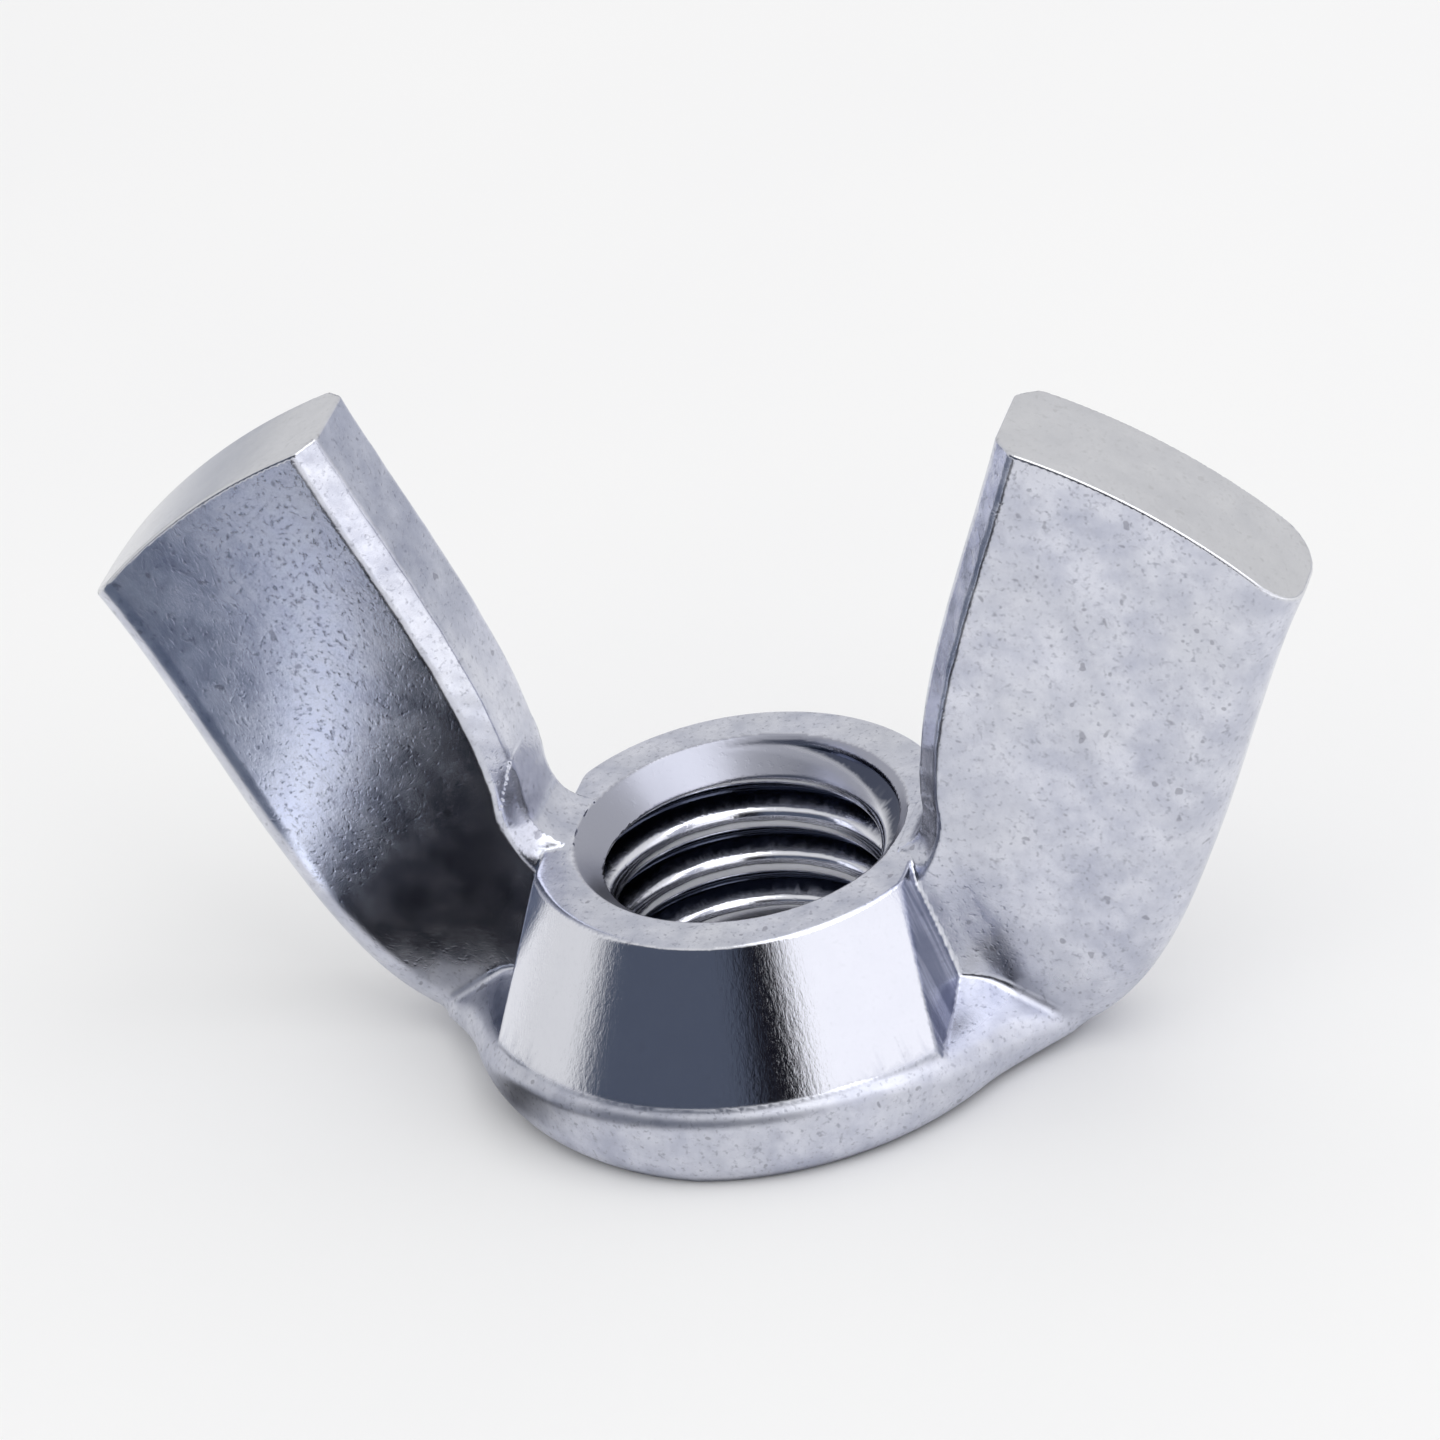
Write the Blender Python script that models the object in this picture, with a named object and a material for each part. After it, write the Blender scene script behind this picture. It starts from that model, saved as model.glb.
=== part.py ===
"""A cold-forged wing nut, 3/8-16 UNC, zinc plated: one steel forging with a tapped hole.

+Z runs up the thread axis, the bearing face lies on z = 0 and the wings spread along X.
Lengths in the constants are millimetres; points are turned into metres as meshes are made.
"""

import math

import bmesh
import bpy
from mathutils import Vector

MM = 0.001

# Thread: 3/8-16 UNC, right hand
PITCH = 25.4 / 16
MAJOR_RADIUS = 9.525 / 2
MINOR_RADIUS = 4.0
CREST_FLAT = 0.16 * PITCH
ROOT_FLAT = 0.12 * PITCH
THREAD_DROP = 0.3
COUNTERSINK_RADIUS = 4.95
COUNTERSINK_SLOPE = 1.0
THREAD_SEGMENTS = 40

# Hub: a rounded base flange under a tapered boss
HUB_HEIGHT = 6.6
FLANGE_TOP = 2.5
FLANGE_RADIUS = 8.9
FLANGE_ROUND = 1.05
CONE_BOTTOM_RADIUS = 8.55
RIM_RADIUS = 6.2
RIM_ROUND = 0.18
HUB_SEGMENTS = 80

# Flats on the two sides of the boss that face the wings
FLAT_X_AT_RIM = 5.6
FLAT_X_AT_FLANGE = 6.7

# Wings
WING_HALF_THICKNESS = 1.8
WING_OUTER_ROUND = 1.35
WING_INNER_BEVEL = 0.6
TIP_CROWN = 0.6
OUTER_TIP = (18.15, 15.15)
INNER_TIP = (10.1, 20.6)
OUTER_BEND = 0.55
INNER_BEND = 0.3
OUTER_LOWER = ((7.4, 0.0), (11.6, 0.2), (13.2, 4.0), (14.6, 7.0))
OUTER_UPPER = ((14.6, 7.0), (15.6, 9.3), (16.8, 12.7), OUTER_TIP)
INNER_LOWER = ((4.6, 6.62), (5.6, 6.75), (6.15, 7.2), (6.1, 8.6))
INNER_UPPER = ((6.1, 8.6), (6.4, 12.4), (8.6, 16.6), INNER_TIP)
WING_STATIONS = 18
ROUND_STEPS = 5
FACE_SHARES = (0.2, 0.4, 0.6, 0.8)

# Thin facets in the corners between the wing faces and the flats, flared toward the flange
FACET_RUN = 1.1
FACET_CLIMB = 0.15
FACET_FLARE = 1.35
FACET_FLARE_TOP = 6.8
FACET_FLARE_HEIGHT = 4.3
FACET_LEVELS = (1.7, 2.2, 2.5, 2.8, 3.2, 3.8, 4.6, 5.4, 6.1)
FACET_SUNK = 1.0
FACET_OVERRUN = 0.15

# The flange's shoulder slopes down toward each wing
SLOPE_START = (7.35, 2.65)
SLOPE_END = (9.3, 1.25)

# Skirts that sweep the flange out into the bottom of each wing
SKIRT_RADIUS = 8.8
SKIRT_ANGLE = 21
SKIRT_STEPS = 6
SKIRT_LEVELS = (0.8, 1.5)
SKIRT_WING_ENDS = ((10.3, 1.2, 1.2), (10.6, 1.6, 2.0))

OVERCUT = 2.0


def clear_scene():
    for item in list(bpy.data.objects):
        bpy.data.objects.remove(item, do_unlink=True)


def add_object(name, bm):
    mesh = bpy.data.meshes.new(name)
    bmesh.ops.recalc_face_normals(bm, faces=bm.faces)
    bmesh.ops.scale(bm, vec=(MM, MM, MM), verts=bm.verts)
    bm.to_mesh(mesh)
    bm.free()
    item = bpy.data.objects.new(name, mesh)
    bpy.context.scene.collection.objects.link(item)
    return item


def hide_cutter(item):
    item.hide_render = True
    item.display_type = "WIRE"


def add_boolean(target, tool, operation):
    modifier = target.modifiers.new(tool.name, "BOOLEAN")
    modifier.operation = operation
    modifier.object = tool
    hide_cutter(tool)


def arc_points(centre, radius, start, end, steps):
    """Points on an arc in a plane, from the start angle to the end angle in degrees."""
    points = []
    for step in range(steps + 1):
        angle = math.radians(start + (end - start) * step / steps)
        points.append((centre[0] + radius * math.cos(angle), centre[1] + radius * math.sin(angle)))
    return points


def bezier_point(controls, t):
    a, b, c, d = (Vector(point) for point in controls)
    s = 1 - t
    return a * s**3 + b * 3 * s * s * t + c * 3 * s * t * t + d * t**3


def hub_profile():
    """Radius and height down the hub's outer side, from the rim to the bearing face."""
    rim = arc_points((RIM_RADIUS - RIM_ROUND, HUB_HEIGHT - RIM_ROUND), RIM_ROUND, 90, 30, 2)
    step = [(CONE_BOTTOM_RADIUS, FLANGE_TOP)]
    shoulder_round = FLANGE_ROUND * 0.5
    shoulder = arc_points(
        (FLANGE_RADIUS - shoulder_round, FLANGE_TOP - shoulder_round), shoulder_round, 70, 0, 3
    )
    foot = arc_points((FLANGE_RADIUS - FLANGE_ROUND, FLANGE_ROUND), FLANGE_ROUND, 0, -90, 5)
    return rim + step + shoulder + foot


def make_turned(name, profile, segments):
    """A closed solid turned about Z from radius and height pairs, top to bottom."""
    bm = bmesh.new()
    rings = []
    for radius, height in profile:
        ring = []
        for segment in range(segments):
            angle = 2 * math.pi * segment / segments
            ring.append(bm.verts.new((radius * math.cos(angle), radius * math.sin(angle), height)))
        rings.append(ring)
    for upper, lower in zip(rings, rings[1:]):
        for segment in range(segments):
            following = (segment + 1) % segments
            bm.faces.new((upper[segment], lower[segment], lower[following], upper[following]))
    bm.faces.new(rings[0])
    bm.faces.new(reversed(rings[-1]))
    return add_object(name, bm)


def side_name(side):
    return "right" if side > 0 else "left"


def flat_x(height):
    """How far out the steep flat beside a wing stands, at each height."""
    share = (height - FLANGE_TOP) / (HUB_HEIGHT - FLANGE_TOP)
    return FLAT_X_AT_FLANGE + (FLAT_X_AT_RIM - FLAT_X_AT_FLANGE) * share


def make_prism(name, side, section):
    """A block right across the hub, with the given outline seen along Y."""
    outside = FLANGE_RADIUS + OVERCUT
    bm = bmesh.new()
    rows = []
    for y in (-outside, outside):
        rows.append([bm.verts.new((side * x, y, z)) for x, z in section])
    for index in range(len(section)):
        following = (index + 1) % len(section)
        bm.faces.new((rows[0][index], rows[0][following], rows[1][following], rows[1][index]))
    bm.faces.new(rows[0])
    bm.faces.new(rows[1])
    return add_object(f"{name}_{side_name(side)}", bm)


def make_flat_cutter(side):
    """A block whose inner face is the steep flat beside one wing."""
    top = HUB_HEIGHT + OVERCUT
    outside = FLANGE_RADIUS + OVERCUT
    section = ((flat_x(FLANGE_TOP), FLANGE_TOP), (outside, FLANGE_TOP), (outside, top), (flat_x(top), top))
    return make_prism("flat_cutter", side, section)


def make_slope_cutter(side):
    """A block that slopes the flange's shoulder down toward one wing."""
    start = Vector(SLOPE_START)
    end = Vector(SLOPE_END)
    along = (end - start).normalized()
    low = end + along * OVERCUT
    high = start - along
    top = high.y + OVERCUT
    section = ((high.x, high.y), (low.x, low.y), (low.x, top), (high.x, top))
    return make_prism("slope_cutter", side, section)


def outer_edge(t):
    """The wing's outer edge: out of the base in a sweep, then nearly straight up to the tip."""
    if t < OUTER_BEND:
        return bezier_point(OUTER_LOWER, t / OUTER_BEND)
    return bezier_point(OUTER_UPPER, (t - OUTER_BEND) / (1 - OUTER_BEND))


def inner_edge(t):
    """The wing's inner edge: from the web over a tight hollow, then bowed up to the tip."""
    if t < INNER_BEND:
        return bezier_point(INNER_LOWER, t / INNER_BEND)
    return bezier_point(INNER_UPPER, (t - INNER_BEND) / (1 - INNER_BEND))


def wing_section(width):
    """Distance from the inner edge, and half thickness there, over one wing section."""
    half = WING_HALF_THICKNESS
    inner = [(0.0, half - WING_INNER_BEVEL), (WING_INNER_BEVEL, half)]
    outer_centre = (width - WING_OUTER_ROUND, half - WING_OUTER_ROUND)
    outer = arc_points(outer_centre, WING_OUTER_ROUND, 90, 0, ROUND_STEPS)
    face_length = width - WING_OUTER_ROUND - WING_INNER_BEVEL
    face = [(WING_INNER_BEVEL + face_length * share, half) for share in FACE_SHARES]
    return inner + face + outer


def make_wing(side):
    stations = WING_STATIONS
    bm = bmesh.new()
    fronts = []
    backs = []
    for station in range(stations + 1):
        t = station / stations
        start = inner_edge(t)
        end = outer_edge(t)
        across = end - start
        width = across.length
        across.normalize()
        outward = Vector((-across.y, across.x))
        front = []
        back = []
        for distance, half in wing_section(width):
            share = distance / width
            crown = TIP_CROWN * 4 * share * (1 - share) if station == stations else 0.0
            spot = start + across * distance + outward * crown
            front.append(bm.verts.new((side * spot.x, -half, spot.y)))
            back.append(bm.verts.new((side * spot.x, half, spot.y)))
        fronts.append(front)
        backs.append(back)
    count = len(fronts[0])
    for station in range(stations):
        for index in range(count - 1):
            for rows in (fronts, backs):
                here, there = rows[station], rows[station + 1]
                bm.faces.new((here[index], here[index + 1], there[index + 1], there[index]))
        for index in (0, count - 1):
            bm.faces.new(
                (fronts[station][index], fronts[station + 1][index],
                 backs[station + 1][index], backs[station][index])
            )
    for station in (0, stations):
        for index in range(count - 1):
            bm.faces.new(
                (fronts[station][index], fronts[station][index + 1],
                 backs[station][index + 1], backs[station][index])
            )
    return add_object(f"wing_blank_{side_name(side)}", bm)


def make_skirt(side):
    """A hull from the flange's rim to the wing's lower end, on both faces of the wing."""
    bm = bmesh.new()
    for step in range(SKIRT_STEPS + 1):
        turn = math.radians(SKIRT_ANGLE * (2 * step / SKIRT_STEPS - 1))
        for level in SKIRT_LEVELS:
            bm.verts.new((side * SKIRT_RADIUS * math.cos(turn), SKIRT_RADIUS * math.sin(turn), level))
    for x, y, z in SKIRT_WING_ENDS:
        bm.verts.new((side * x, y, z))
        bm.verts.new((side * x, -y, z))
    result = bmesh.ops.convex_hull(bm, input=bm.verts)
    loose = [item for item in result["geom_interior"] if isinstance(item, bmesh.types.BMVert)]
    bmesh.ops.delete(bm, geom=loose, context="VERTS")
    return add_object(f"skirt_{side_name(side)}", bm)


def facet_section(height):
    """Outline seen from above of the metal behind one facet, which overruns into wing and hub."""
    drop = (FACET_FLARE_TOP - height) / FACET_FLARE_HEIGHT
    climb = FACET_CLIMB + FACET_FLARE * drop**4
    wing_x = flat_x(height) + FACET_RUN * (1 + FACET_OVERRUN)
    wing_y = WING_HALF_THICKNESS - climb * FACET_OVERRUN
    hub_x = flat_x(height) - FACET_RUN * FACET_OVERRUN
    hub_y = WING_HALF_THICKNESS + climb * (1 + FACET_OVERRUN)
    sunk_x = flat_x(height) - FACET_SUNK
    sunk_y = WING_HALF_THICKNESS - FACET_SUNK
    return ((wing_x, wing_y), (hub_x, hub_y), (sunk_x, hub_y), (sunk_x, sunk_y), (wing_x, sunk_y))


def make_facet(side, face):
    """The facet under one wing face, lofted from the flange up to the rim."""
    bm = bmesh.new()
    rows = []
    for height in FACET_LEVELS:
        rows.append([bm.verts.new((side * x, face * y, height)) for x, y in facet_section(height)])
    for lower, upper in zip(rows, rows[1:]):
        for index in range(len(lower)):
            following = (index + 1) % len(lower)
            bm.faces.new((lower[index], lower[following], upper[following]))
            bm.faces.new((lower[index], upper[following], upper[index]))
    bm.faces.new(rows[0])
    bm.faces.new(rows[-1])
    return add_object(f"facet_{side_name(side)}_{'back' if face > 0 else 'front'}", bm)


def make_tap():
    """The space inside the thread: a screw-shaped solid that runs past both ends of the hub."""
    flank = (PITCH - CREST_FLAT - ROOT_FLAT) / 2
    phases = (
        (0.0, MAJOR_RADIUS),
        (ROOT_FLAT, MAJOR_RADIUS),
        (ROOT_FLAT + flank, MINOR_RADIUS),
        (ROOT_FLAT + flank + CREST_FLAT, MINOR_RADIUS),
    )
    turns = math.ceil((HUB_HEIGHT + 2 * OVERCUT) / PITCH) + 1
    steps = turns * THREAD_SEGMENTS
    start = -THREAD_DROP - ROOT_FLAT / 2 - 2 * PITCH
    bm = bmesh.new()
    columns = []
    for step in range(steps + 1):
        angle = 2 * math.pi * step / THREAD_SEGMENTS
        rise = start + PITCH * step / THREAD_SEGMENTS
        column = []
        for offset, radius in phases:
            column.append(bm.verts.new((radius * math.cos(angle), radius * math.sin(angle), rise + offset)))
        columns.append(column)
    for step in range(steps):
        here, there = columns[step], columns[step + 1]
        for index in range(len(phases) - 1):
            bm.faces.new((here[index], there[index], there[index + 1], here[index + 1]))
        if step + THREAD_SEGMENTS < steps:
            above_here = columns[step + THREAD_SEGMENTS]
            above_there = columns[step + 1 + THREAD_SEGMENTS]
            bm.faces.new((here[-1], there[-1], above_there[0], above_here[0]))
    low = bm.verts.new((0, 0, start))
    high = bm.verts.new((0, 0, start + PITCH * (turns + 1)))
    for step in range(THREAD_SEGMENTS):
        bm.faces.new((low, columns[step + 1][0], columns[step][0]))
        top = steps - THREAD_SEGMENTS + step
        bm.faces.new((high, columns[top][-1], columns[top + 1][-1]))
    bm.faces.new([low] + columns[0] + [columns[THREAD_SEGMENTS][0]])
    bm.faces.new([high] + list(reversed(columns[steps])) + [columns[steps - THREAD_SEGMENTS][-1]])
    return add_object("tap", bm)


def make_countersink(name, height, outward):
    """A cone that opens the mouth of the hole, with a plain barrel outside the mouth."""
    narrow = MINOR_RADIUS * 0.5
    depth = (COUNTERSINK_RADIUS - narrow) * COUNTERSINK_SLOPE
    profile = [
        (COUNTERSINK_RADIUS, height + outward * OVERCUT),
        (COUNTERSINK_RADIUS, height),
        (narrow, height - outward * depth),
    ]
    if outward < 0:
        profile.reverse()
    return make_turned(name, profile, HUB_SEGMENTS)


def zinc_material():
    material = bpy.data.materials.new("bright_zinc")
    material.use_nodes = True
    surface = material.node_tree.nodes["Principled BSDF"]
    surface.inputs["Base Color"].default_value = (0.66, 0.67, 0.74, 1.0)
    surface.inputs["Metallic"].default_value = 1.0
    surface.inputs["Roughness"].default_value = 0.28
    return material


def build_wing_nut():
    nut = make_turned("wing_nut", hub_profile(), HUB_SEGMENTS)
    for side in (1, -1):
        add_boolean(nut, make_flat_cutter(side), "DIFFERENCE")
        add_boolean(nut, make_slope_cutter(side), "DIFFERENCE")
    for side in (1, -1):
        add_boolean(nut, make_wing(side), "UNION")
        add_boolean(nut, make_skirt(side), "UNION")
        for face in (1, -1):
            add_boolean(nut, make_facet(side, face), "UNION")
    add_boolean(nut, make_tap(), "DIFFERENCE")
    add_boolean(nut, make_countersink("top_countersink", HUB_HEIGHT, 1), "DIFFERENCE")
    add_boolean(nut, make_countersink("base_countersink", 0.0, -1), "DIFFERENCE")
    nut.data.materials.append(zinc_material())
    nut.data.shade_smooth()
    nut.data.set_sharp_from_angle(angle=math.radians(35))
    return nut


clear_scene()
build_wing_nut()
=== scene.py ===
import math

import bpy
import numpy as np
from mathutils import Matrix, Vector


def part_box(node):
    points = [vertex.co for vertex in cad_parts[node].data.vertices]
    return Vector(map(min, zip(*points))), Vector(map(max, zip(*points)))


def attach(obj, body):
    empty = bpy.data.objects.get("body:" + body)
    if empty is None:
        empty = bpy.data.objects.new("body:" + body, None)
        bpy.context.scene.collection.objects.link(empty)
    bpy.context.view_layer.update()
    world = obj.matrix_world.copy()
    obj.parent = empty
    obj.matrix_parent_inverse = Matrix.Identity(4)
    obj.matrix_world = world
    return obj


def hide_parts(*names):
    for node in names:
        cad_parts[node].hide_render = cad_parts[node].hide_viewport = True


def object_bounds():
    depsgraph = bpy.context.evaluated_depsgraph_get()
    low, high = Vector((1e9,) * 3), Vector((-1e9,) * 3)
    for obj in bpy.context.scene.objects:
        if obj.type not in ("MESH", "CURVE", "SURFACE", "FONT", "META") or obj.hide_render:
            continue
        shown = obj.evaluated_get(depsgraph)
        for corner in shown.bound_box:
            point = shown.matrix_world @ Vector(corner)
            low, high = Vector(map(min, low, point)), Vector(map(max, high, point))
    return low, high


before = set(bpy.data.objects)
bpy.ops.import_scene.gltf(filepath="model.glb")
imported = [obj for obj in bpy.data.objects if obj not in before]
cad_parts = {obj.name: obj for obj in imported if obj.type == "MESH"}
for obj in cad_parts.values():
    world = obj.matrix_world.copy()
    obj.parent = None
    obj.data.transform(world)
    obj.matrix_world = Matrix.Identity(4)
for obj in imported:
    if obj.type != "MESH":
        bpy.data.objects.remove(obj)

# Looks of the zinc-plated wing nut. The visible forging is one fine mesh, taken from a distance
# field in millimetres that follows the CAD part's sizes, with the small fillets, rounded edges
# and uneven bevel that the CAD solid leaves out. Thread, cone, wings and flange share one
# procedural zinc material, steered by masks kept on the mesh.

CAD_LOW, CAD_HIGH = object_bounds()
MM = 0.001
NODE = "wing_nut"
NODE_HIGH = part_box(NODE)[1]

# Sizes in millimetres, following the CAD part's; only the thread's root flat is 0.01 mm wider
HALF_SPAN = NODE_HIGH.x / MM
HEIGHT = NODE_HIGH.z / MM
FLANGE_RADIUS = NODE_HIGH.y / MM
PITCH = 25.4 / 16
MAJOR_RADIUS = 9.525 / 2
MINOR_RADIUS = 4.0
ROOT_FLAT = PITCH / 8
HUB_HEIGHT = 6.6
FLANGE_TOP = 2.5
CONE_BOTTOM_RADIUS = 8.55
RIM_RADIUS = 6.2
COUNTERSINK_RADIUS = 4.95
COUNTERSINK_SLOPE = 1.0
THREAD_DROP = 0.3
FLAT_X_AT_RIM = 5.6
FLAT_X_AT_FLANGE = 6.7
WING_HALF_THICKNESS = 1.8
OUTER_TIP = (HALF_SPAN, 15.15)
INNER_TIP = (10.1, HEIGHT)
TIP_CROWN = 0.6

# Edge rounds and fillets in millimetres
WING_OUTER_ROUND = 1.35
WING_INNER_BEVEL = 0.6
CRISP = 0.1
FLANGE_SHOULDER_ROUND = 0.55
RIM_EDGE_ROUND = 0.13
SKIRT_FILLET = 2.2
SKIRT_FLOOR = 0.6
SKIRT_CEILING = 2.75
SKIRT_TO_WING_FILLET = 0.25
APRON_RISE = 0.55
APRON_REACH = 2.0
APRON_START = 5.0
SLOPE_NORMAL = (0.526, 0.214, 0.822)
SLOPE_OFFSET = 6.474
SLOPE_ROUND = 0.4
BOSS_FILLET = 0.12
GUSSET_FILLET = 0.06
BOSS_FOOT = 1.2
GUSSET_RUN = 1.1
GUSSET_CLIMB = 0.15
GUSSET_FLARE = 0.8
GUSSET_FLARE_TOP = 4.5
GUSSET_BEHIND = 0.4
GUSSET_OVERRUN = 0.3
CREST_ROUND = 0.2
ROOT_ROUND = 0.09
HOLE_ROUND = 0.06

# The bevel's unevenness: depth and wavelength in millimetres, and the seed of its waves
BEVEL_DEPTH = 0.02
BEVEL_WAVE = 0.9
BEVEL_SEED = 5

# How finely the edge curves are kept
CURVE_POINTS = 400
LEAD_POINTS = 300
LEAD_LENGTH = 12.0
LEAD_START = 0.003
ANGLE_STEPS = 1600
SMOOTHING = 25

# The lattice and the mesh, in millimetres where they are lengths. A block is skipped when its
# middle is further from the surface than the reach, a little over half the block's diagonal.
FINE_CELL = 0.1
BLOCK = 8
MARGIN_CELLS = 2.5
FAR = 9.0
BLOCKS_AT_ONCE = 400
REACH_SHARE = 0.95
REACH_SLACK = 0.25
FACES_WANTED = 190000
LEAST_SLOPE = 0.2
LONGEST_MOVE = 0.1

# The radii between which the flange's duller finish sets in
FLANGE_FADE = (8.2, 8.5)

# Colours of the finish and of the painted reflections and shade, red, green, blue and alpha
ZINC_LIGHT = (0.74, 0.755, 0.84, 1.0)
ZINC_SHADE = (0.52, 0.54, 0.64, 1.0)
ZINC_CLOUD = (0.66, 0.67, 0.71, 1.0)
ZINC_GRAIN = (0.45, 0.46, 0.54, 1.0)
ZINC_PIT = (0.30, 0.31, 0.37, 1.0)
ZINC_NICK = (0.20, 0.20, 0.24, 1.0)
ZINC_TIP = (0.74, 0.74, 0.75, 1.0)
ZINC_POLISHED = (0.82, 0.83, 0.89, 1.0)
# Painted reflection on the flats beside the wings, in dark and light streaks
FLAT_REFLECTION_DARK = (0.22, 0.24, 0.33, 1.0)
FLAT_REFLECTION_LIGHT = (0.50, 0.52, 0.62, 1.0)
# Painted shade in the thread's grooves
GROOVE_SHADE = (0.07, 0.08, 0.12, 1.0)
# Painted dark reflection on the countersunk mouth
MOUTH_REFLECTION = (0.40, 0.41, 0.48, 1.0)
# Painted shade in creases and corners
CREASE_SHADE = (0.10, 0.11, 0.15, 1.0)
WHITE = (1.0, 1.0, 1.0, 1.0)

# The floor, and the painted reflections on it that glossy rays alone see: a darker far band, a dark
# sheet at the front left with a glowing gap in it, and a glow beside the nut. Each pair is where a soft
# border starts and ends, in metres; the gap runs along a bent line, so its places are across that line.
FLOOR_SIZE = 3.0
FLOOR_DROP = 0.00002
FLOOR_TONES = ((0.90, 0.90, 0.905, 1.0), (0.915, 0.915, 0.915, 1.0))
FLOOR_FAR = (0.52, 0.54, 0.60, 1.0)
FAR_BORDER = (0.04, 0.10)
BESIDE_BORDERS = ((0.04, 0.08), (0.04, 0.0))
BESIDE_GLOW = 0.5
SHEET_RIGHT = (-0.0055, -0.0080)
SHEET_FRONT = (-0.060, -0.045)
SHEET_BACK = (-0.004, -0.006)
SHEET_WANDER = 0.008
SHEET_PATCHES = ((0.05, 0.065, 0.10, 1.0), (0.20, 0.24, 0.33, 1.0))
SHEET_BLACK = (0.0, 0.0, 0.004, 1.0)
SHEET_BLACK_BORDER = (-0.0112, -0.0096)
GAP_LEFT = (-0.0142, -0.0131)
GAP_RIGHT = (-0.0109, -0.0119)
GAP_TINT = (0.75, 0.82, 1.0, 1.0)
GAP_GLOW = 0.9
BEND_MIDDLE = 0.023
BEND_BOW = 14.5
BEND_LEAN = -0.35

# The studio, as degrees of azimuth (0 toward the front, growing to the right) and of height.
# Reflections alone see the dark card and the bright box.
CARD_LEFT = (-66.0, -58.0)
CARD_RIGHT = (29.0, 26.0)
CARD_TOP = (52.0, 40.0)
CARD_BOTTOM = (-6.0, 2.0)
CARD_TONES = ((0.10, 0.12, 0.17, 1.0), (0.005, 0.005, 0.01, 1.0))
CARD_BLACK_BORDER = (2.0, 12.0)
BOX_LEFT = (26.0, 33.0)
BOX_RIGHT = (115.0, 100.0)
BOX_TOP = (46.0, 36.0)
BOX_TONE = (1.4, 1.4, 1.45, 1.0)
WORLD_TONE = (1.07, 1.07, 1.07, 1.0)
WORLD_STRENGTH = 0.78
KEY_PLACE = (0.25, -0.1, 0.45)
KEY_TARGET = (0, 0, 0.005)
KEY_SIZE = 0.46
KEY_POWER = 0.8

# The camera: the directions of its right and top edges, and its distance from the nut's middle
CAMERA_ACROSS = (0.952, 0.262, -0.160)
CAMERA_UP = (-0.010, 0.548, 0.837)
CAMERA_DISTANCE = 0.232
LENS = 200
SENSOR = 36


def bezier(controls, count):
    t = np.linspace(0, 1, count)[:, None]
    a, b, c, d = (np.array(point) for point in controls)
    s = 1 - t
    return a * s**3 + 3 * b * s * s * t + 3 * c * s * t * t + d * t**3


class EdgeCurve:
    """A smooth edge in the wing's plane, kept as radius over angle about a centre."""

    def __init__(self, centre, *beziers):
        points = np.concatenate([bezier(controls, CURVE_POINTS) for controls in beziers])
        start = points[1] - points[0]
        end = points[-1] - points[-2]
        first = points[0] - start / np.linalg.norm(start) * LEAD_LENGTH
        last = points[-1] + end / np.linalg.norm(end) * LEAD_LENGTH
        lead_in = first + (points[0] - first) * np.linspace(0, 1, LEAD_POINTS, endpoint=False)[:, None]
        lead_out = points[-1] + (last - points[-1]) * np.linspace(LEAD_START, 1, LEAD_POINTS)[:, None]
        points = np.concatenate([lead_in, points, lead_out])
        away = points - np.array(centre)
        angle = np.arctan2(away[:, 1], away[:, 0])
        order = np.argsort(angle)
        angle = angle[order]
        radius = np.hypot(away[:, 0], away[:, 1])[order]
        self.centre = centre
        self.angle = np.linspace(angle[0], angle[-1], ANGLE_STEPS)
        self.radius = np.interp(self.angle, angle, radius)
        kernel = np.hanning(SMOOTHING)
        kernel /= kernel.sum()
        padded = np.pad(self.radius, SMOOTHING // 2, mode="reflect", reflect_type="odd")
        self.radius = np.convolve(padded, kernel, mode="valid")
        self.lean = np.gradient(self.radius, self.angle)

    def distance(self, x, z):
        """Distance beyond the edge, away from the centre, to first order."""
        right = x - self.centre[0]
        up = z - self.centre[1]
        angle = np.arctan2(up, right)
        radius = np.interp(angle, self.angle, self.radius)
        lean = np.interp(angle, self.angle, self.lean)
        return (np.hypot(right, up) - radius) / np.sqrt(1 + (lean / radius) ** 2)


OUTER_EDGE = EdgeCurve(
    (2.0, 12.0),
    ((8.0, 0.0), (11.6, 0.2), (13.2, 4.0), (14.6, 7.0)),
    ((14.6, 7.0), (15.6, 9.3), (16.8, 12.7), OUTER_TIP),
)
INNER_EDGE = EdgeCurve(
    (-6.0, 14.0),
    ((4.6, 6.62), (5.6, 6.75), (6.15, 7.2), (6.1, 8.6)),
    ((6.1, 8.6), (6.4, 12.4), (8.6, 16.6), INNER_TIP),
)


def fillet(a, b, radius):
    """Union of two solids with a fillet between them."""
    near_a = np.maximum(radius - a, 0)
    near_b = np.maximum(radius - b, 0)
    return np.maximum(radius, np.minimum(a, b)) - np.hypot(near_a, near_b)


def trim(a, b, radius):
    """What two solids share, with the edge between them rounded."""
    near_a = np.maximum(radius + a, 0)
    near_b = np.maximum(radius + b, 0)
    return np.minimum(-radius, np.maximum(a, b)) + np.hypot(near_a, near_b)


def ripple(x, y, z, wavelength, seed):
    """Smooth unevenness between -1 and 1: a few crossed waves in seeded directions."""
    rng = np.random.default_rng(seed)
    total = 0.0
    waves = 7
    for _ in range(waves):
        direction = rng.normal(size=3)
        direction /= np.linalg.norm(direction)
        wave = 2 * math.pi / (wavelength * rng.uniform(0.7, 1.5))
        phase = rng.uniform(0, 2 * math.pi)
        total = total + np.sin((x * direction[0] + y * direction[1] + z * direction[2]) * wave + phase)
    return total / waves


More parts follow.
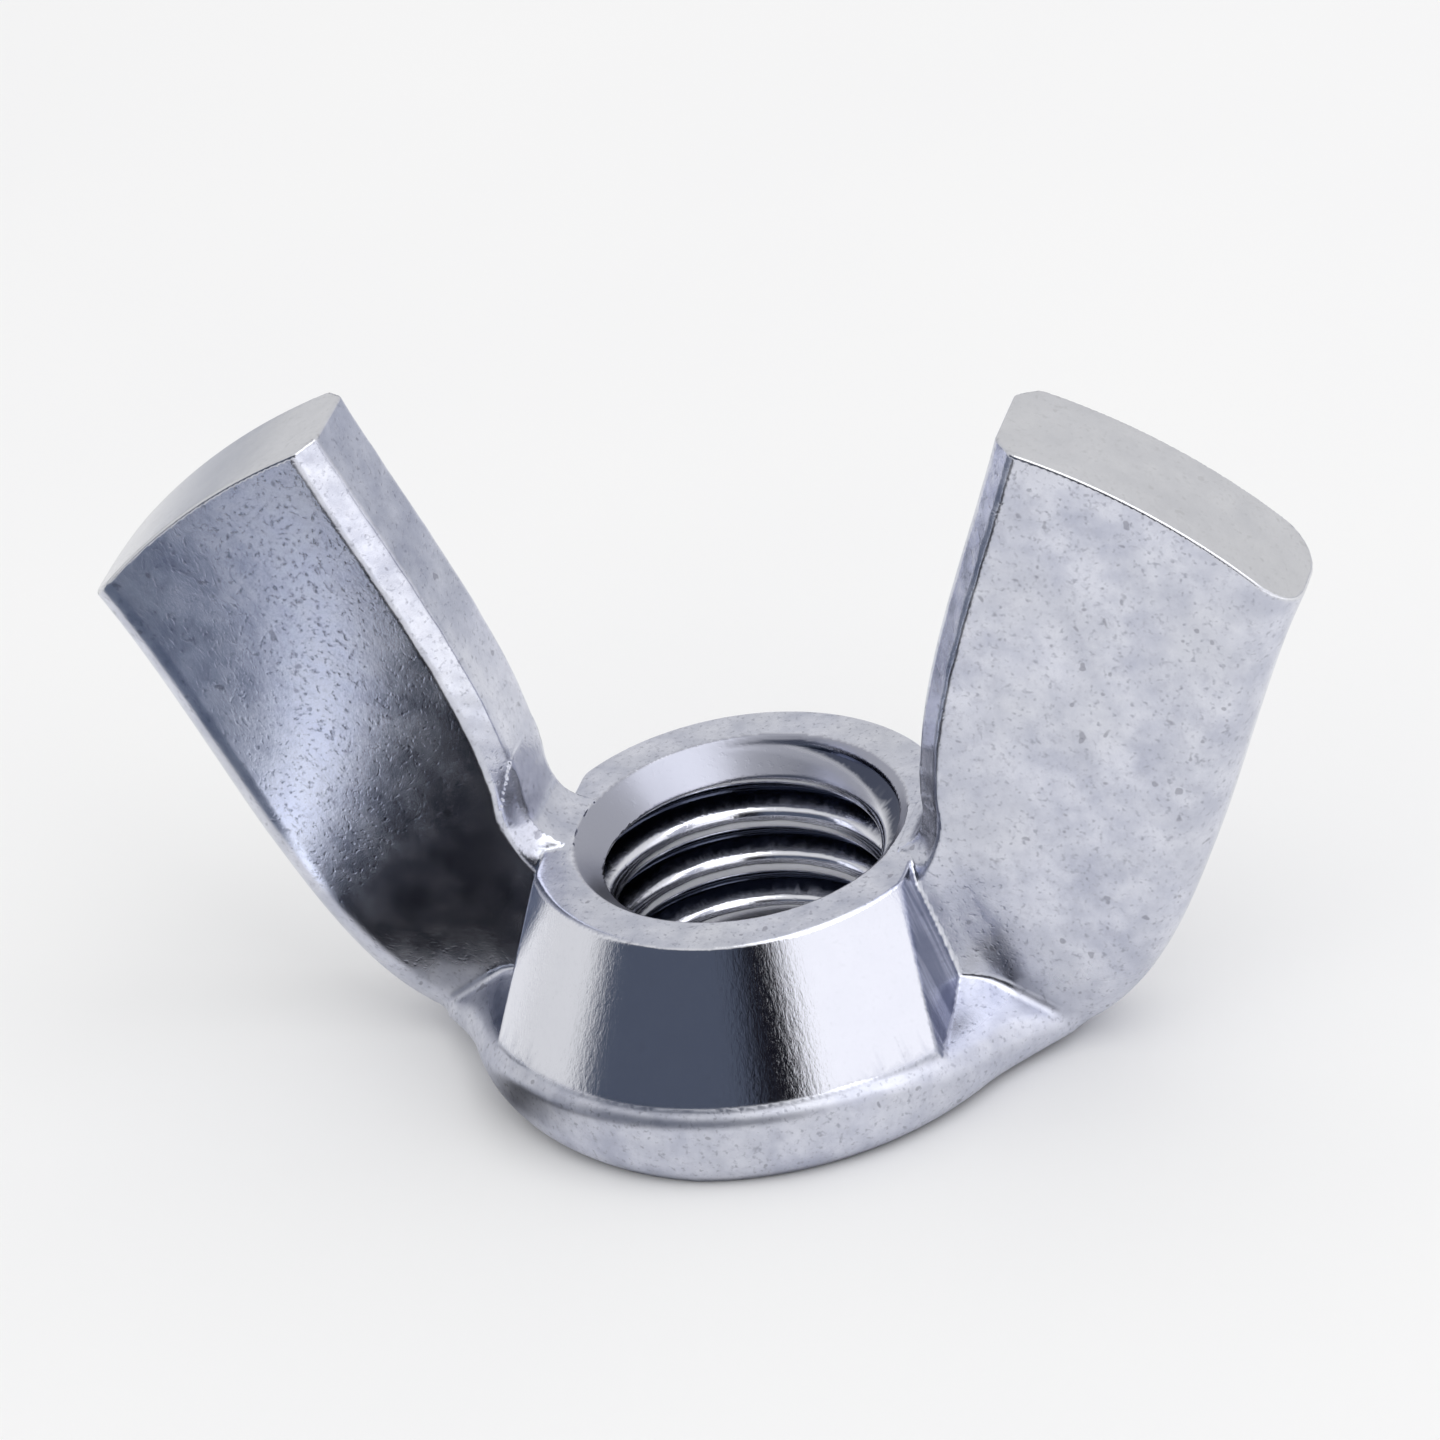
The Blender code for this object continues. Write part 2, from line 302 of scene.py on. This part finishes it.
def flange_field(x, y, r, z):
    """The base flange. It sweeps out into the foot of each wing, most of all near the bottom,
    rises a little against the wing, and slopes down toward the wing's outer edge."""
    rise = np.clip((z - SKIRT_FLOOR) / (SKIRT_CEILING - SKIRT_FLOOR), 0, 0.99)
    sweep = SKIRT_FILLET * np.sqrt(1 - rise**2)
    plan = fillet(r - FLANGE_RADIUS, np.abs(y) - WING_HALF_THICKNESS, sweep)
    from_wing = np.clip((np.abs(y) - WING_HALF_THICKNESS) / APRON_REACH, 0, 1)
    top = FLANGE_TOP + APRON_RISE * (1 - from_wing) ** 2 * (x > APRON_START)
    solid = trim(plan, z - top, FLANGE_SHOULDER_ROUND)
    out, aside, up = SLOPE_NORMAL
    slope = x * out + np.abs(y) * aside + z * up - SLOPE_OFFSET
    solid = trim(solid, slope, SLOPE_ROUND)
    return trim(solid, OUTER_EDGE.distance(x, z), WING_OUTER_ROUND)


def flat_x(z):
    """How far out the steep flat beside a wing stands, at each height."""
    lean = FLAT_X_AT_RIM - FLAT_X_AT_FLANGE
    return FLAT_X_AT_FLANGE + lean * (z - FLANGE_TOP) / (HUB_HEIGHT - FLANGE_TOP)


def cone_field(x, r, z):
    """The tapered boss with a steep flat on each wing side."""
    fall = HUB_HEIGHT - FLANGE_TOP
    slope = math.hypot(CONE_BOTTOM_RADIUS - RIM_RADIUS, fall)
    beyond = (r - CONE_BOTTOM_RADIUS) * fall
    above = (z - FLANGE_TOP) * (CONE_BOTTOM_RADIUS - RIM_RADIUS)
    cone = (beyond + above) / slope
    flat = (x - flat_x(z)) * math.cos(math.atan((FLAT_X_AT_FLANGE - FLAT_X_AT_RIM) / fall))
    solid = trim(cone, z - HUB_HEIGHT, RIM_EDGE_ROUND)
    solid = trim(solid, flat, CRISP)
    return np.maximum(solid, np.maximum(BOSS_FOOT - z, r - CONE_BOTTOM_RADIUS))


def tip_arc():
    """Centre and radius of the crowned end of a wing."""
    start = np.array(INNER_TIP)
    end = np.array(OUTER_TIP)
    chord = end - start
    half = np.linalg.norm(chord) / 2
    radius = (half * half + TIP_CROWN * TIP_CROWN) / (2 * TIP_CROWN)
    outward = np.array((-chord[1], chord[0])) / (2 * half)
    centre = (start + end) / 2 + outward * (TIP_CROWN - radius)
    return centre, radius


def inner_bevel(x, y, z):
    """The bevel along a wing's inner edge and over the web, a little uneven from the die."""
    depth = np.abs(y) - WING_HALF_THICKNESS - INNER_EDGE.distance(x, z) + WING_INNER_BEVEL
    return depth * math.sqrt(0.5) + BEVEL_DEPTH * ripple(x, y, z, BEVEL_WAVE, BEVEL_SEED)


def wing_field(x, y, z):
    """A flat wing between its two edges, with a crowned end."""
    side = np.abs(y) - WING_HALF_THICKNESS
    outer = OUTER_EDGE.distance(x, z)
    inner = -INNER_EDGE.distance(x, z)
    centre, radius = tip_arc()
    tip = np.hypot(x - centre[0], z - centre[1]) - radius
    solid = trim(side, outer, WING_OUTER_ROUND)
    solid = trim(solid, inner_bevel(x, y, z), CRISP)
    solid = trim(solid, inner, CRISP)
    return trim(solid, tip, CRISP)


def gusset_field(x, y, z):
    """A thin facet in each corner between a wing face and a flat, flared toward the flange."""
    beyond = x - flat_x(z)
    above = np.abs(y) - WING_HALF_THICKNESS
    flare = np.clip((GUSSET_FLARE_TOP - z) / GUSSET_FLARE_TOP, 0, 1) ** 2
    climb = GUSSET_CLIMB + GUSSET_FLARE * flare
    facet = (beyond * climb + above * GUSSET_RUN - GUSSET_RUN * climb) / np.hypot(climb, GUSSET_RUN)
    solid = trim(facet, inner_bevel(x, y, z), CRISP)
    solid = np.maximum(solid, np.maximum(-GUSSET_BEHIND - beyond, beyond - GUSSET_RUN - GUSSET_OVERRUN))
    return np.maximum(solid, np.maximum(BOSS_FOOT - z, -INNER_EDGE.distance(x, z)))


def thread_field(x, y, r, z):
    """Metal round the tapped hole: a 60 degree thread with rounded crests and roots."""
    turn = np.arctan2(y, x) / (2 * math.pi)
    phase = ((z + THREAD_DROP) / PITCH - turn + 0.5) % 1.0 - 0.5
    along = np.abs(phase) * PITCH
    flank = -((r - MAJOR_RADIUS) * 0.5 + (along - ROOT_FLAT / 2) * math.sqrt(0.75))
    tooth = trim(MINOR_RADIUS - r, flank, CREST_ROUND)
    return fillet(tooth, MAJOR_RADIUS - r, ROOT_ROUND)


def mouth_field(r, depth):
    """Metal round a countersunk mouth; depth is measured into the hub from its face."""
    lean = math.hypot(1, COUNTERSINK_SLOPE)
    cone = ((COUNTERSINK_RADIUS - r) * COUNTERSINK_SLOPE - depth) / lean
    barrel = COUNTERSINK_RADIUS - r
    return np.where(depth > 0, cone, barrel)


def nut_field(points):
    """Signed distance in millimetres, negative inside the metal."""
    x = np.abs(points[:, 0])
    y = points[:, 1]
    z = points[:, 2]
    r = np.hypot(x, y)
    wing = wing_field(x, y, z)
    solid = fillet(wing, flange_field(x, y, r, z), SKIRT_TO_WING_FILLET)
    solid = fillet(solid, gusset_field(x, y, z), GUSSET_FILLET)
    solid = fillet(solid, cone_field(x, r, z), BOSS_FILLET)
    solid = np.maximum(solid, -z)
    solid = trim(solid, mouth_field(r, HUB_HEIGHT - z), HOLE_ROUND)
    solid = trim(solid, mouth_field(r, z), HOLE_ROUND)
    return trim(solid, thread_field(points[:, 0], y, r, z), HOLE_ROUND)


def field_gradient(points, step=0.01):
    """Slope of the field at each point, from its values a step away on either side."""
    gradient = np.empty_like(points)
    for axis in range(3):
        shift = np.zeros(3)
        shift[axis] = step
        gradient[:, axis] = (nut_field(points + shift) - nut_field(points - shift)) / (2 * step)
    return gradient


def settle(points, rounds):
    """Moves points onto the surface along its gradient, and returns them with their normals."""
    for _ in range(rounds):
        gradient = field_gradient(points)
        size = np.maximum((gradient**2).sum(1), LEAST_SLOPE)
        move = -(nut_field(points) / size)[:, None] * gradient
        points = points + np.clip(move, -LONGEST_MOVE, LONGEST_MOVE)
    gradient = field_gradient(points)
    normals = gradient / np.maximum(np.linalg.norm(gradient, axis=1), 1e-6)[:, None]
    return points, normals


def sample_lattice(cell):
    """The field on a lattice, worked out only in the blocks that the surface may cross."""
    low = np.array((-HALF_SPAN, -FLANGE_RADIUS, 0.0)) - MARGIN_CELLS * cell
    high = np.array((HALF_SPAN, FLANGE_RADIUS, HEIGHT)) + MARGIN_CELLS * cell
    blocks = np.ceil((high - low) / (cell * BLOCK)).astype(int)
    values = np.full(blocks * BLOCK + 1, FAR, np.float32)
    corners = np.stack(np.meshgrid(*[np.arange(n) for n in blocks], indexing="ij"), -1).reshape(-1, 3)
    at_middle = nut_field(low + (corners + 0.5) * BLOCK * cell)
    reach = BLOCK * cell * REACH_SHARE + REACH_SLACK
    for corner in corners[at_middle < -reach]:
        i, j, k = corner * BLOCK
        values[i:i + BLOCK + 1, j:j + BLOCK + 1, k:k + BLOCK + 1] = -FAR
    steps = np.arange(BLOCK + 1)
    offsets = np.stack(np.meshgrid(steps, steps, steps, indexing="ij"), -1).reshape(-1, 3)
    active = corners[np.abs(at_middle) <= reach] * BLOCK
    for start in range(0, len(active), BLOCKS_AT_ONCE):
        nodes = active[start:start + BLOCKS_AT_ONCE, None, :] + offsets[None]
        found = nut_field(low + nodes.reshape(-1, 3) * cell)
        index = nodes.reshape(-1, 3).T
        values[index[0], index[1], index[2]] = found
    return values, low


def surface_net(values, low, cell):
    """One vertex in each lattice cell that the surface crosses, and a quad for each crossed edge."""
    shape = np.array(values.shape)
    inside = values < 0
    crossings = []
    quads = []
    strides = np.array((shape[1] * shape[2], shape[2], 1))
    for axis in range(3):
        here = [slice(None)] * 3
        there = [slice(None)] * 3
        here[axis] = slice(0, -1)
        there[axis] = slice(1, None)
        crossed = inside[tuple(here)] != inside[tuple(there)]
        nodes = np.argwhere(crossed)
        a = values[tuple(here)][crossed]
        b = values[tuple(there)][crossed]
        share = a / (a - b)
        points = nodes.astype(float)
        points[:, axis] += share
        flat = nodes @ strides
        one, two = strides[(axis + 1) % 3], strides[(axis + 2) % 3]
        cells = np.stack([flat, flat - one, flat - one - two, flat - two], 1)
        outward = a < 0
        cells[~outward] = cells[~outward][:, ::-1]
        quads.append(cells)
        crossings.append(np.repeat(points, 4, axis=0))
    quads = np.concatenate(quads)
    crossings = np.concatenate(crossings)
    used, index = np.unique(quads.ravel(), return_inverse=True)
    counts = np.bincount(index, minlength=len(used))
    sums = [np.bincount(index, crossings[:, axis], len(used)) for axis in range(3)]
    middle = np.stack([total / counts for total in sums], 1)
    return low + middle * cell, index.reshape(-1, 4)


def quad_mesh(name, points, quads):
    """A Blender mesh in metres, from points in millimetres."""
    mesh = bpy.data.meshes.new(name)
    mesh.vertices.add(len(points))
    mesh.vertices.foreach_set("co", (points * MM).astype(np.float32).ravel())
    mesh.loops.add(quads.size)
    mesh.loops.foreach_set("vertex_index", quads.astype(np.int32).ravel())
    mesh.polygons.add(len(quads))
    mesh.polygons.foreach_set("loop_start", np.arange(0, quads.size, 4, dtype=np.int32))
    mesh.update(calc_edges=True)
    mesh.validate()
    return mesh


def thin(piece, faces_wanted):
    """Joins small triangles where the surface is nearly flat, until about that many are left."""
    triangles = sum(len(face.vertices) - 2 for face in piece.data.polygons)
    modifier = piece.modifiers.new("thin", "DECIMATE")
    modifier.ratio = min(1.0, faces_wanted / triangles)
    modifier.use_collapse_triangulate = True
    graph = bpy.context.evaluated_depsgraph_get()
    mesh = bpy.data.meshes.new_from_object(piece.evaluated_get(graph))
    piece.modifiers.clear()
    piece.data = mesh


def mesh_points(mesh):
    """Places of the mesh's vertices, in millimetres."""
    points = np.empty(len(mesh.vertices) * 3, np.float32)
    mesh.vertices.foreach_get("co", points)
    return points.reshape(-1, 3).astype(float) / MM


def set_mask(mesh, name, values):
    attribute = mesh.attributes.new(name, "FLOAT", "POINT")
    attribute.data.foreach_set("value", np.clip(values, 0, 1).astype(np.float32))


def soft_step(value, low, high):
    """0 below low, 1 above high, and smooth between them."""
    t = np.clip((value - low) / (high - low), 0, 1)
    return t * t * (3 - 2 * t)


def near(distance, full, gone):
    """1 up to one distance from a surface, and 0 beyond another, in millimetres."""
    return 1 - soft_step(np.abs(distance), full, gone)


def add_masks(mesh, points, normals):
    """Where each finish sits, and where reflection and shade are painted: the cone and its flats, the
    hole, the flange, the wings' ends.
    """
    x = np.abs(points[:, 0])
    y = points[:, 1]
    z = points[:, 2]
    r = np.hypot(x, y)
    steep = 0.8

    cone = near(cone_field(x, r, z), 0.03, 0.1) * (normals[:, 2] < steep)
    cone = cone * soft_step(z, FLANGE_TOP, FLANGE_TOP + 0.15) * (r > COUNTERSINK_RADIUS)
    # The flat mask places the painted reflection on the flats
    flat = near(x - flat_x(z), 0.02, 0.06) * (np.abs(normals[:, 0]) > steep)
    flat = flat * (z < HUB_HEIGHT) * (np.abs(y) > WING_HALF_THICKNESS)
    bore = (r < COUNTERSINK_RADIUS + 0.02) & (z < HUB_HEIGHT + 0.01)
    to_mouth = np.minimum(np.abs(mouth_field(r, HUB_HEIGHT - z)), np.abs(mouth_field(r, z)))
    # The mouth mask places a painted dark reflection, and also the mouth's rougher finish
    mouth = bore * near(to_mouth, 0.02, 0.06)
    # Painted shade deep in the thread's grooves
    groove_shade = bore * soft_step(r, MINOR_RADIUS + 0.14, MINOR_RADIUS + 0.38) * (1 - mouth)
    flange = (1 - soft_step(z, FLANGE_TOP - 0.05, FLANGE_TOP + 0.1)) * soft_step(r, *FLANGE_FADE)
    centre, radius = tip_arc()
    tip = 1 - soft_step(radius - np.hypot(x - centre[0], z - centre[1]), 0.02, 0.12)

    set_mask(mesh, "cone", cone)
    set_mask(mesh, "flat", flat)
    set_mask(mesh, "bore", bore.astype(float))
    set_mask(mesh, "mouth", mouth)
    set_mask(mesh, "groove_shade", groove_shade)
    set_mask(mesh, "flange", flange)
    set_mask(mesh, "tip", tip)


def build_nut():
    """The forging as one mesh, with exact normals and the masks of its finishes and of its painted
    reflections and shade.
    """
    cell = FINE_CELL
    values, low = sample_lattice(cell)
    points, quads = surface_net(values, low, cell)
    points, _ = settle(points, 2)
    mesh = quad_mesh("zinc_wing_nut", points, quads)
    piece = bpy.data.objects.new("zinc_wing_nut", mesh)
    bpy.context.scene.collection.objects.link(piece)
    thin(piece, FACES_WANTED)
    points, normals = settle(mesh_points(piece.data), 2)
    piece.data.vertices.foreach_set("co", (points * MM).astype(np.float32).ravel())
    piece.data.update()
    piece.data.shade_smooth()
    add_masks(piece.data, points, normals)
    piece.data.normals_split_custom_set_from_vertices(normals.astype(np.float32))
    return piece


class Nodes:
    """Short calls for building a node tree."""

    def __init__(self, tree):
        self.tree = tree

    def add(self, kind, inputs=None, **settings):
        node = self.tree.nodes.new(kind)
        for key, value in settings.items():
            setattr(node, key, value)
        for key, value in (inputs or {}).items():
            self.feed(node.inputs[key], value)
        return node

    def feed(self, socket, value):
        if isinstance(value, bpy.types.NodeSocket):
            self.tree.links.new(value, socket)
        elif isinstance(value, bpy.types.Node):
            self.tree.links.new(value.outputs[0], socket)
        else:
            socket.default_value = value

    def math(self, operation, a, b=0.0, c=0.0):
        node = self.add("ShaderNodeMath", operation=operation)
        for index, value in enumerate((a, b, c)):
            self.feed(node.inputs[index], value)
        return node

    def mask(self, name):
        return self.add("ShaderNodeAttribute", attribute_name=name).outputs["Fac"]

    def times(self, a, b):
        return self.math("MULTIPLY", a, b)

    def noise(self, place, scale, detail=2.0, rough=0.5, stretch=None):
        """Noise between 0 and 1; scale is in waves to one unit of place, metres on the nut."""
        if stretch is not None:
            place = self.add("ShaderNodeMapping", {"Vector": place, "Scale": stretch})
        inputs = {"Vector": place, "Scale": scale, "Detail": detail, "Roughness": rough}
        return self.add("ShaderNodeTexNoise", inputs).outputs["Fac"]

    def streaks(self, place):
        """Fine lines that run up the cone, spaced by angle round the hub."""
        x, y, z = self.add("ShaderNodeSeparateXYZ", {"Vector": place}).outputs
        turn = self.math("ARCTAN2", y, x)
        rolled = self.add("ShaderNodeCombineXYZ", {"X": turn, "Y": self.times(z, 60.0)})
        return self.noise(rolled, scale=55.0, detail=4.0, rough=0.7)

    def ramp(self, value, low, high, to_low=0.0, to_high=1.0):
        """Maps low..high to 0..1, or to another range, and keeps within it."""
        inputs = {
            "Value": value,
            "From Min": low,
            "From Max": high,
            "To Min": to_low,
            "To Max": to_high,
        }
        return self.add("ShaderNodeMapRange", inputs).outputs["Result"]

    def mix(self, share, a, b):
        """Between two colours."""
        node = self.add("ShaderNodeMix", data_type="RGBA")
        self.feed(node.inputs["Factor"], share)
        self.feed(node.inputs[6], a)
        self.feed(node.inputs[7], b)
        return node.outputs[2]

    def blend(self, share, a, b):
        """Between two numbers."""
        node = self.add("ShaderNodeMix", data_type="FLOAT")
        self.feed(node.inputs["Factor"], share)
        self.feed(node.inputs[2], a)
        self.feed(node.inputs[3], b)
        return node.outputs[0]


def new_material(name):
    """An empty node material, and the short calls for its tree."""
    material = bpy.data.materials.new(name)
    material.use_nodes = True
    material.node_tree.nodes.clear()
    return material, Nodes(material.node_tree)


def zinc_material():
    """Bright zinc: mottled and finely pitted on the forged faces, bright and lined on the cone. Painted
    dark reflections sit on the flats and the mouth, painted shade in the thread's grooves and the
    creases.
    """
    material, n = new_material("bright_zinc")
    place = n.add("ShaderNodeTexCoord").outputs["Object"]
    cone = n.mask("cone")
    bore = n.mask("bore")

    mottle = n.noise(place, scale=900.0, detail=4.0, rough=0.6)
    cloud = n.noise(place, scale=240.0, detail=3.0, rough=0.5)
    grain = n.noise(place, scale=4200.0, detail=3.0, rough=0.65)
    pits = n.ramp(n.noise(place, scale=6500.0, detail=2.0, rough=0.5), 0.58, 0.74)
    nicks = n.ramp(n.noise(place, scale=2600.0, detail=1.0, rough=0.4), 0.72, 0.76)

    colour = n.mix(n.ramp(mottle, 0.34, 0.66), ZINC_SHADE, ZINC_LIGHT)
    colour = n.mix(n.times(n.ramp(cloud, 0.42, 0.68), 0.45), colour, ZINC_CLOUD)
    colour = n.mix(n.times(n.ramp(grain, 0.52, 0.70), 0.35), colour, ZINC_GRAIN)
    colour = n.mix(n.times(pits, 0.6), colour, ZINC_PIT)
    colour = n.mix(n.times(nicks, 0.5), colour, ZINC_NICK)
    colour = n.mix(n.times(n.mask("tip"), 0.7), colour, ZINC_TIP)
    colour = n.mix(n.times(cone, 0.9), colour, ZINC_POLISHED)
    colour = n.mix(bore, colour, ZINC_POLISHED)
    # Painted reflection: the flats get a dark, streaked colour that stands in for what they reflect
    reflection_stripes = n.noise(place, scale=700.0, detail=2.0, rough=0.6, stretch=(1.0, 3.0, 0.12))
    lens = n.mix(n.ramp(reflection_stripes, 0.42, 0.62), FLAT_REFLECTION_DARK, FLAT_REFLECTION_LIGHT)
    colour = n.mix(n.mask("flat"), colour, lens)
    # Painted shade: the thread's grooves are darkened
    colour = n.mix(n.mask("groove_shade"), colour, GROOVE_SHADE)
    # Painted reflection: the mouth is darkened
    colour = n.mix(n.mask("mouth"), colour, MOUTH_REFLECTION)
    # Painted shade: ambient occlusion darkens the base colour in creases and corners
    open_sky = n.add("ShaderNodeAmbientOcclusion", {"Distance": 0.0004}, samples=6).outputs["AO"]
    colour = n.mix(n.times(n.ramp(open_sky, 0.75, 0.25), 0.75), colour, CREASE_SHADE)

    streak = n.streaks(place)
    rough = n.ramp(mottle, 0.3, 0.7, to_low=0.18, to_high=0.25)
    rough = n.blend(cone, rough, n.math("ADD", 0.05, n.times(streak, 0.09)))
    rough = n.blend(bore, rough, 0.14)
    rough = n.blend(n.mask("mouth"), rough, 0.3)
    rough = n.blend(n.mask("flange"), rough, 0.42)

    relief = n.math("ADD", n.times(grain, 0.5), mottle)
    relief = n.math("SUBTRACT", relief, n.times(pits, 0.6))
    strength = n.blend(cone, n.blend(bore, 0.13, 0.1), 0.05)
    bump = n.add("ShaderNodeBump", {"Height": relief, "Distance": 0.00004, "Strength": strength})
    lines = {"Height": streak, "Distance": 0.00002, "Strength": n.times(cone, 0.35), "Normal": bump}
    scored = n.add("ShaderNodeBump", lines)

    looks = {"Base Color": colour, "Metallic": 1.0, "Roughness": rough, "Normal": scored}
    n.add("ShaderNodeOutputMaterial", {"Surface": n.add("ShaderNodeBsdfPrincipled", looks)})
    return material


def dark_sheet(n, place, x, y):
    """The dark sheet of painted reflection: its share, the colour it shows, and the share of the gap in
    it.
    """
    wander = n.times(n.math("SUBTRACT", n.noise(place, scale=90.0), 0.5), SHEET_WANDER)
    right = n.ramp(n.math("ADD", x, wander), *SHEET_RIGHT)
    sheet = n.times(right, n.times(n.ramp(y, *SHEET_FRONT), n.ramp(y, *SHEET_BACK)))
    along = n.math("ADD", y, BEND_MIDDLE)
    bow = n.times(n.times(along, along), BEND_BOW)
    bend = n.math("ADD", n.math("ADD", x, bow), n.times(y, BEND_LEAN))
    gap = n.times(n.ramp(bend, *GAP_LEFT), n.ramp(bend, *GAP_RIGHT))
    patches = n.mix(n.noise(place, scale=220.0), *SHEET_PATCHES)
    tint = n.mix(n.ramp(bend, *SHEET_BLACK_BORDER), patches, SHEET_BLACK)
    return sheet, n.mix(gap, tint, GAP_TINT), gap


def floor_material():
    """Pale sweep. Painted reflections that glossy rays alone see: a darker far band, a dark sheet at
    the front left with a glowing gap in it, and a glow beside the nut.
    """
    material, n = new_material("pale_floor")
    place = n.add("ShaderNodeTexCoord").outputs["Object"]
    x, y, _ = n.add("ShaderNodeSeparateXYZ", {"Vector": place}).outputs
    reflected = n.add("ShaderNodeLightPath").outputs["Is Glossy Ray"]

    colour = n.mix(n.ramp(n.noise(place, scale=40.0), 0.3, 0.7), *FLOOR_TONES)
    # Painted reflection: reflections see the floor darker far behind the nut
    colour = n.mix(n.times(n.ramp(y, *FAR_BORDER), reflected), colour, FLOOR_FAR)
    sheet, tint, gap = dark_sheet(n, place, x, y)
    colour = n.mix(n.times(sheet, reflected), colour, tint)

    # Painted highlight: for reflections the floor glows to the right of the nut and in the sheet's gap
    out, forward = BESIDE_BORDERS
    beside = n.times(n.times(n.ramp(x, *out), n.ramp(y, *forward)), reflected)
    lit_gap = n.times(n.times(gap, sheet), reflected)
    glow = n.math("ADD", n.times(beside, BESIDE_GLOW), n.times(lit_gap, GAP_GLOW))
    looks = {
        "Base Color": colour,
        "Roughness": 0.6,
        "Specular IOR Level": 0.1,
        "Emission Color": WHITE,
        "Emission Strength": glow,
    }
    n.add("ShaderNodeOutputMaterial", {"Surface": n.add("ShaderNodeBsdfPrincipled", looks)})
    return material


def add_floor():
    half = FLOOR_SIZE / 2
    corners = [(-half, -half, 0), (half, -half, 0), (half, half, 0), (-half, half, 0)]
    mesh = bpy.data.meshes.new("floor")
    mesh.from_pydata(corners, [], [(0, 1, 2, 3)])
    mesh.materials.append(floor_material())
    floor = bpy.data.objects.new("floor", mesh)
    floor.location.z = CAD_LOW.z - FLOOR_DROP
    bpy.context.scene.collection.objects.link(floor)


def studio_world():
    """White all round. Reflections also see a dark card at the front and a bright box beside it."""
    world = bpy.data.worlds.new("studio")
    world.use_nodes = True
    world.node_tree.nodes.clear()
    n = Nodes(world.node_tree)
    way = n.add("ShaderNodeTexCoord").outputs["Generated"]
    x, y, z = n.add("ShaderNodeSeparateXYZ", {"Vector": way}).outputs
    degrees = 180 / math.pi
    azimuth = n.times(n.math("ARCTAN2", x, n.times(y, -1.0)), degrees)
    height = n.times(n.math("ARCSINE", z), degrees)

    across = n.times(n.ramp(azimuth, *CARD_LEFT), n.ramp(azimuth, *CARD_RIGHT))
    upright = n.times(n.ramp(height, *CARD_TOP), n.ramp(height, *CARD_BOTTOM))
    card = n.times(across, upright)
    card_tone = n.mix(n.ramp(azimuth, *CARD_BLACK_BORDER), *CARD_TONES)
    box = n.times(n.ramp(azimuth, *BOX_LEFT), n.ramp(azimuth, *BOX_RIGHT))
    seen = n.mix(n.times(box, n.ramp(height, *BOX_TOP)), WHITE, BOX_TONE)
    seen = n.mix(card, seen, card_tone)
    reflected = n.add("ShaderNodeLightPath").outputs["Is Glossy Ray"]
    colour = n.mix(reflected, WORLD_TONE, seen)
    background = n.add("ShaderNodeBackground", {"Color": colour, "Strength": WORLD_STRENGTH})
    n.add("ShaderNodeOutputWorld", {"Surface": background})
    bpy.context.scene.world = world


def add_key_light():
    """One large soft panel, high on the right."""
    data = bpy.data.lights.new("key", "AREA")
    data.shape = "SQUARE"
    data.size = KEY_SIZE
    data.energy = KEY_POWER
    light = bpy.data.objects.new("key", data)
    aim = Vector(KEY_TARGET) - Vector(KEY_PLACE)
    light.location = KEY_PLACE
    light.rotation_euler = aim.to_track_quat("-Z", "Y").to_euler()
    bpy.context.scene.collection.objects.link(light)


def add_camera():
    """A long lens from a little right of the front and about 32 degrees up, rolled a little."""
    across = Vector(CAMERA_ACROSS)
    up = Vector(CAMERA_UP)
    back = across.cross(up).normalized()
    across = up.cross(back).normalized()
    spot = (CAD_LOW + CAD_HIGH) / 2 + back * CAMERA_DISTANCE
    data = bpy.data.cameras.new("camera")
    data.lens = LENS
    data.sensor_width = SENSOR
    data.clip_start = 0.01
    data.clip_end = 20
    camera = bpy.data.objects.new("camera", data)
    camera.matrix_world = Matrix((
        (across.x, up.x, back.x, spot.x),
        (across.y, up.y, back.y, spot.y),
        (across.z, up.z, back.z, spot.z),
        (0, 0, 0, 1),
    ))
    bpy.context.scene.collection.objects.link(camera)
    bpy.context.scene.camera = camera


nut = build_nut()
nut.data.materials.append(zinc_material())
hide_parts(NODE)
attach(nut, "root")
add_floor()
studio_world()
add_key_light()
add_camera()
bpy.context.scene.view_settings.view_transform = "Standard"
